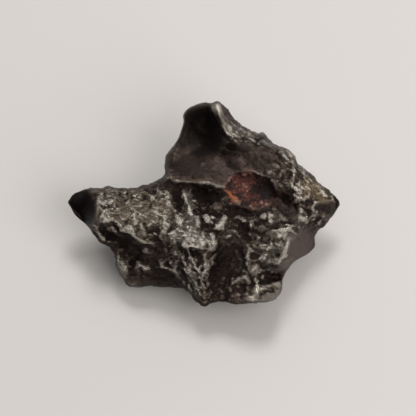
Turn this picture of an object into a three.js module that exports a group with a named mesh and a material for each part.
// An iron meteorite: one jagged, thumb-printed fragment of nickel-iron, 50 mm from tip to tip.
//
// The fragment is drawn face on. x runs to the right across its face, y runs up the face, and every
// spot on it also has a height above the table it lies on. The face leans back from the table by
// FACE_TILT, and any line square to the face meets the top skin once and the underside once.
// Both skins come from a short list of heights, bent smoothly through them like a thin steel plate,
// and then get sharp crests and round hollows. They meet along the rim.
//
// Frame: millimetres, +Z up, origin at the middle of the footprint's box, on the table.

import * as THREE from "three";
import { mergeGeometries, mergeVertices } from "three/addons/utils/BufferGeometryUtils.js";

// ---------- driving dimensions, in millimetres and degrees ----------

const SPAN = 50; // tip to tip across the face
const DRAWN_SPAN = 50; // the span at which the lists below are written
const FACE_TILT = 25; // how far the face leans back from level
const DATUM_HEIGHT = 9; // height above the table of the face's own origin
const TOP_ROUNDING = 1.3; // how far in from the rim the top skin rolls over
const UNDER_ROUNDING = 2.6; // the same for the underside
const CREST_ROUNDING = 0.8; // how blunt the crests are
const WORN_FLAT = 0.25; // how much the table has worn off the points it rests on
const STAR_CENTRE = [3.5, -4.0]; // every point of the rim can be seen from here
const GRID_CELLS = 44; // cells along each side of the square net that is stretched over a skin
const RIM_PACKING = 0.5; // 0 spaces the net evenly, 1 crowds its threads at the rim
const RELAX_ROUNDS = 300; // times the net is pulled smooth
const RIM_STEPS = 20; // steps from one listed rim point to the next
const RIM_TENSION = 0.5; // how tightly the rim's curve is pulled between its listed points
const WELD_DISTANCE = 1e-4; // points closer than this become one

// ---------- the rim: x, y and height above the table, clockwise in four sides from tip to tip ----------

const RIM_SIDES = [
  // from the left tip along the horn's upper edge, up the left flank of the tall lobe to its tip
  [
    [-25.0, 0.1, 9.6], [-24.0, 1.5, 9.8], [-22.5, 2.35, 10.0], [-20.6, 2.75, 10.2], [-19.1, 2.7, 10.3],
    [-17.5, 3.15, 10.4], [-16.0, 2.85, 10.4], [-13.6, 2.75, 10.4], [-11.2, 3.2, 10.8], [-9.2, 3.95, 11.2],
    [-7.3, 5.0, 11.0], [-7.3, 6.6, 10.4], [-7.1, 8.6, 10.4], [-6.0, 10.3, 11.0], [-4.9, 11.9, 11.6],
    [-4.25, 13.5, 12.2], [-3.8, 15.1, 12.8], [-3.95, 16.1, 13.4], [-3.4, 17.1, 14.0],
    [-1.8, 18.15, 14.6], [0.0, 18.65, 15.0], [1.4, 18.55, 15.4],
  ],
  // from the top tip down the ragged upper right edge to the right tip
  [
    [2.4, 18.8, 15.8], [3.3, 18.4, 15.6], [5.0, 16.35, 14.6], [6.6, 14.6, 13.8], [8.0, 13.85, 13.6],
    [9.8, 12.9, 13.2], [10.9, 12.95, 13.2], [12.0, 11.8, 13.0], [13.1, 10.75, 12.8],
    [14.7, 10.4, 12.0], [16.1, 9.7, 11.4], [16.9, 8.4, 11.2], [17.2, 7.3, 11.4], [18.7, 6.3, 10.8],
    [20.3, 4.6, 10.0], [22.0, 2.95, 9.2], [24.2, 1.35, 8.4],
  ],
  // from the right tip round the smooth shelf and the hook, along the front to the bottom tip
  [
    [25.0, 0.3, 7.8], [24.8, -0.9, 7.4], [23.0, -3.1, 6.8], [22.2, -4.15, 6.6], [21.2, -4.9, 5.8],
    [20.5, -6.3, 4.8], [20.4, -8.1, 4.2], [19.2, -9.4, 4.0], [16.7, -10.8, 4.2], [15.5, -12.2, 4.6],
    [14.5, -13.9, 5.2], [14.4, -15.1, 6.0], [13.6, -17.1, 6.6], [12.7, -17.95, 6.8], [10.0, -18.3, 6.8],
    [6.0, -18.45, 6.6], [3.8, -18.2, 6.4], [1.7, -18.3, 6.2],
  ],
  // from the bottom tip round the lower left corner and back up the near edge of the horn
  [
    [0.1, -18.9, 6.0], [-1.1, -18.2, 5.6], [-2.5, -16.8, 5.0], [-4.0, -15.75, 4.6], [-6.5, -15.5, 4.2],
    [-11.0, -15.3, 3.8], [-13.7, -15.4, 3.8], [-15.1, -13.9, 4.0], [-16.2, -11.9, 4.8],
    [-16.6, -9.6, 5.8], [-17.3, -8.1, 6.6], [-19.2, -7.2, 7.2], [-20.3, -5.9, 7.8],
    [-21.3, -4.35, 8.2], [-23.6, -2.4, 8.8], [-24.6, -0.8, 9.3],
  ],
];

// ---------- the top skin: x, y and height above the table ----------

const TOP_HEIGHTS = [
  // left horn: a black facet at the tip, then a level plateau
  [-24.4, 0.1, 10.2], [-22.2, 1.8, 10.8], [-22.4, -2.4, 8.9], [-19.8, 2.0, 11.6], [-19.8, -0.4, 12.2],
  [-19.6, -3.2, 11.8], [-15.0, 2.3, 11.4], [-15.0, -0.4, 12.3], [-15.6, -3.4, 12.4], [-10.4, 2.8, 12.2],
  [-10.0, -0.4, 13.2], [-11.2, -5.2, 13.4], [-7.0, 4.2, 13.4], [-6.4, 0.6, 13.8],
  // the dark slope that falls from the horn towards the front
  [-18.6, -6.4, 8.0], [-14.6, -7.4, 8.2], [-16.0, -9.8, 6.8], [-11.8, -9.4, 7.6], [-8.6, -9.0, 9.4],
  [-11.4, -11.4, 7.8], [-14.4, -12.2, 6.0], [-13.6, -14.8, 4.6], [-8.0, -15.0, 5.0], [-7.8, -11.8, 8.2],
  [-3.6, -15.2, 6.2],
  // the bright shoulder across the middle
  [-6.4, -5.6, 14.0], [-1.2, -2.8, 14.0], [-1.4, -7.2, 13.8], [1.6, -7.0, 13.2], [-3.4, -9.6, 11.6],
  [-2.0, -13.0, 9.8],
  // the brown valley to its right, down to the front edge
  [4.4, -6.0, 12.2], [4.2, -10.0, 10.0], [3.0, -14.0, 8.4], [0.0, -18.0, 6.6], [5.0, -18.0, 7.0],
  // the hook at the lower right and the hole above it
  [7.0, -13.8, 9.2], [6.4, -16.2, 8.0], [12.4, -16.6, 8.2], [12.6, -13.7, 6.2], [9.2, -11.8, 10.2],
  // right half: humps, the lip over the smooth shelf, and the right tip
  [11.0, -9.4, 11.2], [14.4, -9.0, 11.4], [17.6, -9.0, 7.6], [19.8, -8.0, 5.0], [15.2, -5.6, 12.8],
  [19.4, -5.4, 7.6], [12.0, -2.8, 13.4], [18.0, -3.0, 12.2], [21.8, -2.8, 8.8], [24.4, -0.1, 8.2],
  [21.6, 1.0, 10.6], [17.2, 3.0, 14.2], [20.8, 3.6, 10.8], [14.4, 0.0, 12.6],
  // the ledge, the hollow below it and the floor round the rusty pit
  [-5.0, 4.0, 14.0], [0.0, 3.6, 14.9], [3.6, 2.8, 14.8], [-4.6, 0.4, 12.8], [0.2, 0.2, 12.8],
  [8.6, 2.4, 13.8], [8.0, -1.4, 12.8], [8.6, 6.2, 15.2],
  // the smooth scoop in the tall lobe
  [-6.4, 7.2, 12.2], [-1.0, 7.6, 14.0], [4.6, 8.0, 14.6], [-4.8, 11.4, 12.6], [-1.0, 10.6, 13.0],
  [-0.4, 13.8, 14.5], [-3.2, 16.0, 14.2], [0.0, 17.8, 16.4], [2.6, 17.8, 17.2], [3.6, 14.8, 17.2],
  [5.8, 11.4, 16.8],
  // upper right strip behind the scoop
  [6.6, 13.8, 15.4], [9.2, 11.2, 16.0], [10.8, 12.4, 14.8], [12.6, 9.8, 15.8], [16.4, 8.2, 13.4],
  [15.2, 7.2, 15.2], [12.6, 6.4, 15.2],
];

// ---------- the underside: x, y and height above the table ----------

const UNDER_HEIGHTS = [
  // three points that touch the table
  [-8.0, -10.0, -0.2], [9.0, -11.0, -0.2], [1.5, 3.4, -0.2],
  // between them
  [0.5, -6.0, 1.6], [-4.0, -2.6, 1.2], [5.6, -3.0, 1.3], [0.4, -12.2, 1.4],
  // left flank and the root of the horn
  [-13.4, -2.4, 4.6], [-12.6, -9.4, 2.2], [-20.0, -0.6, 8.2], [-14.6, -12.6, 3.0],
  // far flank under the tall lobe
  [-3.6, 5.2, 3.4], [0.4, 9.2, 4.4], [-2.0, 13.6, 9.2], [2.0, 16.8, 12.4], [7.0, 7.4, 4.8],
  // right flank
  [11.6, 2.2, 3.6], [13.0, 7.4, 8.0], [18.4, 1.8, 7.0], [15.6, -4.6, 1.8], [18.0, -7.8, 2.6],
  // front flank
  [-8.0, -14.0, 2.2], [8.0, -16.0, 3.6], [12.4, -14.4, 2.6], [1.0, -16.6, 4.0],
];

// ---------- crests: a path of x, y and rise, and how far the rise reaches to each side ----------
// "left" and "right" are the reaches beside someone who walks along the path in its listed order.

const TOP_CRESTS = [
  {
    // edge of the black facet at the tip of the horn
    path: [[-19.5, 2.6, 0], [-19.7, 0.6, 0.7], [-19.8, -2.0, 0.7], [-20.2, -4.0, 0]],
    left: 2.6,
    right: 1.4,
  },
  {
    // lower edge of the horn's plateau, over the dark slope
    path: [[-19.9, -3.4, 0], [-17.8, -3.5, 1.0], [-15.8, -3.7, 1.1], [-13.8, -5.4, 1.2], [-11.8, -6.8, 0.9],
      [-9.6, -7.6, 0]],
    left: 2.4,
    right: 1.2,
  },
  {
    // crest over the front wall at the lower left
    path: [[-16.2, -9.8, 0], [-14.4, -10.8, 0.5], [-12.0, -11.4, 0.8], [-10.2, -12.2, 0.8], [-7.6, -11.9, 0.9],
      [-5.4, -12.6, 0.8], [-4.0, -14.6, 0.6], [-2.4, -16.0, 0]],
    left: 2.0,
    right: 2.0,
  },
  {
    // ledge between the scoop and the hollow
    path: [[-7.2, 4.9, 0], [-5.0, 4.2, 0.4], [-2.6, 4.0, 0.6], [0.4, 3.7, 0.8], [2.6, 3.1, 0.7],
      [4.2, 2.4, 0.4]],
    left: 2.4,
    right: 1.6,
  },
  {
    // right wall of the scoop in the tall lobe
    path: [[1.8, 18.7, 0], [2.4, 17.0, 0.6], [3.4, 15.0, 1.0], [4.4, 13.4, 1.0], [5.6, 11.6, 0.7],
      [7.0, 10.4, 0]],
    left: 1.8,
    right: 1.5,
  },
  {
    // lip over the smooth shelf on the right
    path: [[12.6, -4.9, 0], [14.2, -4.9, 0.8], [16.0, -5.0, 1.0], [17.4, -5.9, 0.6], [16.4, -7.0, 0.7],
      [15.4, -8.2, 0.9], [14.6, -10.0, 0.9], [13.2, -11.4, 0]],
    left: 1.3,
    right: 1.8,
  },
  {
    // hook at the lower right, its upper edge and outer ring
    path: [[14.0, -14.6, 0], [13.0, -14.9, 0.6], [11.4, -15.3, 0.7], [9.8, -15.6, 0.7], [9.4, -16.6, 0.6],
      [8.4, -17.6, 0]],
    left: 1.8,
    right: 1.8,
  },
  {
    // crest that follows the rim at the upper right and winds down past the pit
    path: [[10.4, 12.0, 0], [11.0, 10.9, 0.8], [13.2, 10.2, 0.7], [15.0, 8.6, 0.8], [16.4, 7.0, 0.7],
      [16.4, 5.0, 0.5], [17.4, 3.0, 0.8], [17.6, 1.0, 0]],
    left: 1.4,
    right: 1.4,
  },
];

// ---------- hollows: where, two radii, the turn of the first radius in degrees, and the depth ----------

const TOP_HOLLOWS = [
  { at: [8.7, 2.5], radii: [4.6, 3.1], turn: -8, depth: 1.5 }, // the rusty pit
  { at: [0.4, 0.9], radii: [4.8, 2.8], turn: -12, depth: 0.8 }, // hollow under the ledge
  { at: [14.8, -0.4], radii: [3.6, 2.0], turn: -48, depth: 1.1 }, // hollow beside the pit
  { at: [11.6, -13.2], radii: [2.4, 1.6], turn: -12, depth: 0.9 }, // hole above the hook
  { at: [-12.6, -8.4], radii: [5.4, 1.9], turn: -38, depth: 1.3 }, // trough on the dark slope
  { at: [0.6, 12.6], radii: [3.8, 5.6], turn: -14, depth: 0.8 }, // scoop in the tall lobe
  { at: [4.6, -9.8], radii: [3.2, 4.6], turn: 6, depth: 0.9 }, // brown valley
];

const UNDER_HOLLOWS = [
  { at: [-15.4, -0.4], radii: [4.4, 3.0], turn: 10, depth: 1.5 }, // under the horn
  { at: [-16.2, -5.6], radii: [4.0, 2.4], turn: -40, depth: 1.3 }, // near side of the horn
  { at: [-5.2, -14.2], radii: [4.2, 2.0], turn: 0, depth: 1.2 }, // front, left
  { at: [4.6, -15.6], radii: [4.0, 2.4], turn: 0, depth: 1.4 }, // front, right
  { at: [15.6, -9.0], radii: [3.0, 3.4], turn: 30, depth: 1.2 }, // under the shelf
  { at: [18.2, 0.6], radii: [4.2, 3.0], turn: -20, depth: 1.4 }, // under the right tip
  { at: [11.2, 6.6], radii: [4.2, 3.2], turn: -40, depth: 1.6 }, // far side, right
  { at: [-3.2, 8.6], radii: [3.4, 4.4], turn: 10, depth: 1.5 }, // far side, left
  { at: [2.6, 12.8], radii: [3.4, 3.6], turn: -20, depth: 1.2 }, // under the tall lobe
];

const radians = THREE.MathUtils.degToRad;
const SCALE = SPAN / DRAWN_SPAN;

// ---------- a thin plate bent through a list of heights ----------

// Solves a square system of equations by elimination, largest pivot first.
function solve(matrix, right) {
  const n = right.length;
  const rows = matrix.map((row, i) => [...row, right[i]]);
  for (let c = 0; c < n; c++) {
    let pivot = c;
    for (let r = c + 1; r < n; r++) {
      if (Math.abs(rows[r][c]) > Math.abs(rows[pivot][c])) pivot = r;
    }
    [rows[c], rows[pivot]] = [rows[pivot], rows[c]];
    for (let r = c + 1; r < n; r++) {
      const share = rows[r][c] / rows[c][c];
      for (let k = c; k <= n; k++) rows[r][k] -= share * rows[c][k];
    }
  }
  const answer = new Array(n).fill(0);
  for (let r = n - 1; r >= 0; r--) {
    let sum = rows[r][n];
    for (let k = r + 1; k < n; k++) sum -= rows[r][k] * answer[k];
    answer[r] = sum / rows[r][r];
  }
  return answer;
}

// How a plate bends round one push: half the squared distance times its logarithm.
const plateKernel = (dx, dy) => {
  const d2 = dx * dx + dy * dy;
  return d2 > 0 ? 0.5 * d2 * Math.log(d2) : 0;
};

// Returns height(x, y), the smoothest sheet that passes through every spot.
function bentPlate(spots) {
  const n = spots.length;
  const matrix = spots.map(([x, y]) => [...spots.map(([a, b]) => plateKernel(x - a, y - b)), 1, x, y]);
  matrix.push([...spots.map(() => 1), 0, 0, 0]);
  matrix.push([...spots.map(([a]) => a), 0, 0, 0]);
  matrix.push([...spots.map(([, b]) => b), 0, 0, 0]);
  const weights = solve(matrix, [...spots.map(([, , height]) => height), 0, 0, 0]);
  return (x, y) => {
    let height = weights[n] + weights[n + 1] * x + weights[n + 2] * y;
    for (let i = 0; i < n; i++) height += weights[i] * plateKernel(x - spots[i][0], y - spots[i][1]);
    return height;
  };
}

// ---------- crests and hollows ----------

// A crest rises to a line along its path and dies away at its own reach on each side.
function crestRise({ path, left, right }, x, y) {
  let nearest = Infinity;
  let rise = 0;
  for (let i = 0; i + 1 < path.length; i++) {
    const [ax, ay, ah] = path[i];
    const [bx, by, bh] = path[i + 1];
    const [ex, ey] = [bx - ax, by - ay];
    const along = THREE.MathUtils.clamp(((x - ax) * ex + (y - ay) * ey) / (ex * ex + ey * ey), 0, 1);
    const distance = Math.hypot(x - ax - along * ex, y - ay - along * ey);
    if (distance >= nearest) continue;
    nearest = distance;
    const reach = ex * (y - ay) - ey * (x - ax) > 0 ? left : right;
    const away = Math.hypot(distance, CREST_ROUNDING) - CREST_ROUNDING;
    rise = (ah + along * (bh - ah)) * Math.exp(-away / reach);
  }
  return rise;
}

// A hollow is a bowl with a sharp brim, deepest in the middle.
function hollowDepth({ at, radii, turn, depth }, x, y) {
  const [dx, dy] = [x - at[0], y - at[1]];
  const [c, s] = [Math.cos(radians(turn)), Math.sin(radians(turn))];
  const share = ((dx * c + dy * s) / radii[0]) ** 2 + ((dy * c - dx * s) / radii[1]) ** 2;
  return depth * Math.max(0, 1 - share);
}

// ---------- the two skins ----------

const topPlate = bentPlate(TOP_HEIGHTS);
const underPlate = bentPlate(UNDER_HEIGHTS);

function topHeight(x, y) {
  let height = topPlate(x, y);
  for (const crest of TOP_CRESTS) height += crestRise(crest, x, y);
  for (const hollow of TOP_HOLLOWS) height -= hollowDepth(hollow, x, y);
  return height;
}

function underHeight(x, y) {
  let height = underPlate(x, y);
  for (const hollow of UNDER_HOLLOWS) height += hollowDepth(hollow, x, y);
  return height;
}

// ---------- the rim as a closed curve, cut into four sides at its sharpest tips ----------

const rimSpots = RIM_SIDES.flat().map((spot) => new THREE.Vector3(...spot));
const rimCurve = new THREE.CatmullRomCurve3(rimSpots, true, "catmullrom", RIM_TENSION);
rimCurve.arcLengthDivisions = rimSpots.length * RIM_STEPS;
const rimSamples = rimCurve.getPoints(rimCurve.arcLengthDivisions);
const rimLengths = rimCurve.getLengths();

// The share of the way round at which each tip stands, from the left tip clockwise back to it.
const tipShares = [0];
for (let side = 1, spot = 0; side <= RIM_SIDES.length; side++) {
  spot += RIM_SIDES[side - 1].length;
  tipShares.push(rimLengths[spot * RIM_STEPS] / rimLengths.at(-1));
}

// The rim point for a place on the border of the square, whose corners are the four tips.
function rimPoint(a, b) {
  const sides = [[b, 0, a], [a, 1, -b], [-b, 2, -a], [-a, 3, b]]; // how near, which side, how far along
  const [, side, along] = sides.reduce((best, next) => (next[0] > best[0] ? next : best));
  const share = THREE.MathUtils.mapLinear(along, -1, 1, tipShares[side], tipShares[side + 1]);
  return rimCurve.getPointAt(THREE.MathUtils.clamp(share, 0, 1));
}

// ---------- a net of threads stretched over the face, as [x, y] at every crossing ----------

const THREADS = GRID_CELLS + 1;
const marks = Array.from({ length: THREADS }, (_, i) => {
  const even = (2 * i) / GRID_CELLS - 1;
  return THREE.MathUtils.lerp(even, Math.sin((even * Math.PI) / 2), RIM_PACKING);
});

// The first net is a star: each crossing lies on a straight line from the centre to the rim.
function starNet() {
  const net = [];
  for (let row = 0; row < THREADS; row++) {
    for (let column = 0; column < THREADS; column++) {
      const [a, b] = [marks[column], -marks[row]];
      const share = Math.max(Math.abs(a), Math.abs(b));
      const edge = share > 0 ? rimPoint(a / share, b / share) : new THREE.Vector3();
      net.push([
        THREE.MathUtils.lerp(STAR_CENTRE[0], edge.x, share),
        THREE.MathUtils.lerp(STAR_CENTRE[1], edge.y, share),
      ]);
    }
  }
  return net;
}

// Pulls the net smooth. Each inner crossing moves to where both its threads run evenly, by the
// equations that keep a net from folding over itself even round an inward corner of the rim.
function relax(net) {
  for (let row = 1; row < GRID_CELLS; row++) {
    const [up, down] = [marks[row] - marks[row - 1], marks[row + 1] - marks[row]];
    for (let column = 1; column < GRID_CELLS; column++) {
      const [back, ahead] = [marks[column] - marks[column - 1], marks[column + 1] - marks[column]];
      const at = row * THREADS + column;
      const [west, east, north, south] = [net[at - 1], net[at + 1], net[at - THREADS], net[at + THREADS]];
      const across = [0, 1].map((k) => (east[k] - west[k]) / (back + ahead));
      const along = [0, 1].map((k) => (south[k] - north[k]) / (up + down));
      const acrossPull = (along[0] ** 2 + along[1] ** 2) / (back + ahead);
      const alongPull = (across[0] ** 2 + across[1] ** 2) / (up + down);
      const shear = across[0] * along[0] + across[1] * along[1];
      const stiffness = acrossPull * (1 / back + 1 / ahead) + alongPull * (1 / up + 1 / down);
      net[at] = [0, 1].map((k) => {
        const corners = net[at + THREADS + 1][k] - net[at + THREADS - 1][k] - net[at - THREADS + 1][k];
        const twist = (corners + net[at - THREADS - 1][k]) / ((back + ahead) * (up + down));
        const straight = acrossPull * (east[k] / ahead + west[k] / back);
        const level = alongPull * (south[k] / down + north[k] / up);
        return (straight + level - shear * twist) / stiffness;
      });
    }
  }
}

const net = starNet();
for (let round = 0; round < RELAX_ROUNDS; round++) relax(net);

// ---------- one skin ----------

// How much of the full height a skin has at a distance in from the rim: a quarter circle, then all.
const rollOver = (distance, rounding) => Math.sqrt(1 - (1 - Math.min(distance / rounding, 1)) ** 2);

// The net lifted to a skin's heights, as triangles that face up or down.
function skin(heightAt, rounding, facesUp) {
  const sheet = new THREE.PlaneGeometry(2, 2, GRID_CELLS, GRID_CELLS);
  const places = sheet.getAttribute("position");
  const [tiltSin, tiltCos] = [Math.sin(radians(FACE_TILT)), Math.cos(radians(FACE_TILT))];
  net.forEach(([x, y], i) => {
    const gaps = rimSamples.map((p) => Math.hypot(x - p.x, y - p.y));
    const distance = Math.min(...gaps);
    const edgeHeight = rimSamples[gaps.indexOf(distance)].z;
    const onRim = [i % THREADS, Math.floor(i / THREADS)].some((k) => k === 0 || k === GRID_CELLS);
    const full = onRim ? 0 : rollOver(distance, rounding);
    const height = Math.max(0, THREE.MathUtils.lerp(edgeHeight, heightAt(x, y), full) - WORN_FLAT);
    // a spot of the face is carried down square to the face, so its depth changes with its height
    places.setXYZ(i, x, (y - (height - DATUM_HEIGHT) * tiltSin) / tiltCos, height);
  });
  sheet.deleteAttribute("normal");
  sheet.deleteAttribute("uv");
  if (!facesUp) {
    // swapping two corners of every triangle turns it to face down
    const corners = sheet.getIndex().array;
    for (let i = 0; i < corners.length; i += 3) {
      [corners[i + 1], corners[i + 2]] = [corners[i + 2], corners[i + 1]];
    }
  }
  return sheet;
}

// ---------- the whole fragment ----------

// Both skins welded along the rim, moved so that the footprint's middle is the origin.
function fragmentGeometry() {
  const top = skin(topHeight, TOP_ROUNDING, true);
  const under = skin(underHeight, UNDER_ROUNDING, false);
  const body = mergeVertices(mergeGeometries([top, under]), WELD_DISTANCE);
  body.scale(SCALE, SCALE, SCALE);
  body.computeBoundingBox();
  const middle = body.boundingBox.getCenter(new THREE.Vector3());
  body.translate(-middle.x, -middle.y, -body.boundingBox.min.z);
  body.computeVertexNormals();
  return body;
}

const nickelIron = new THREE.MeshStandardMaterial({ color: 0x3b3531, roughness: 0.45, metalness: 0.85 });
const meteorite = new THREE.Mesh(fragmentGeometry(), nickelIron);
meteorite.name = "meteorite";

const part = new THREE.Group();
part.add(meteorite);

export default part;
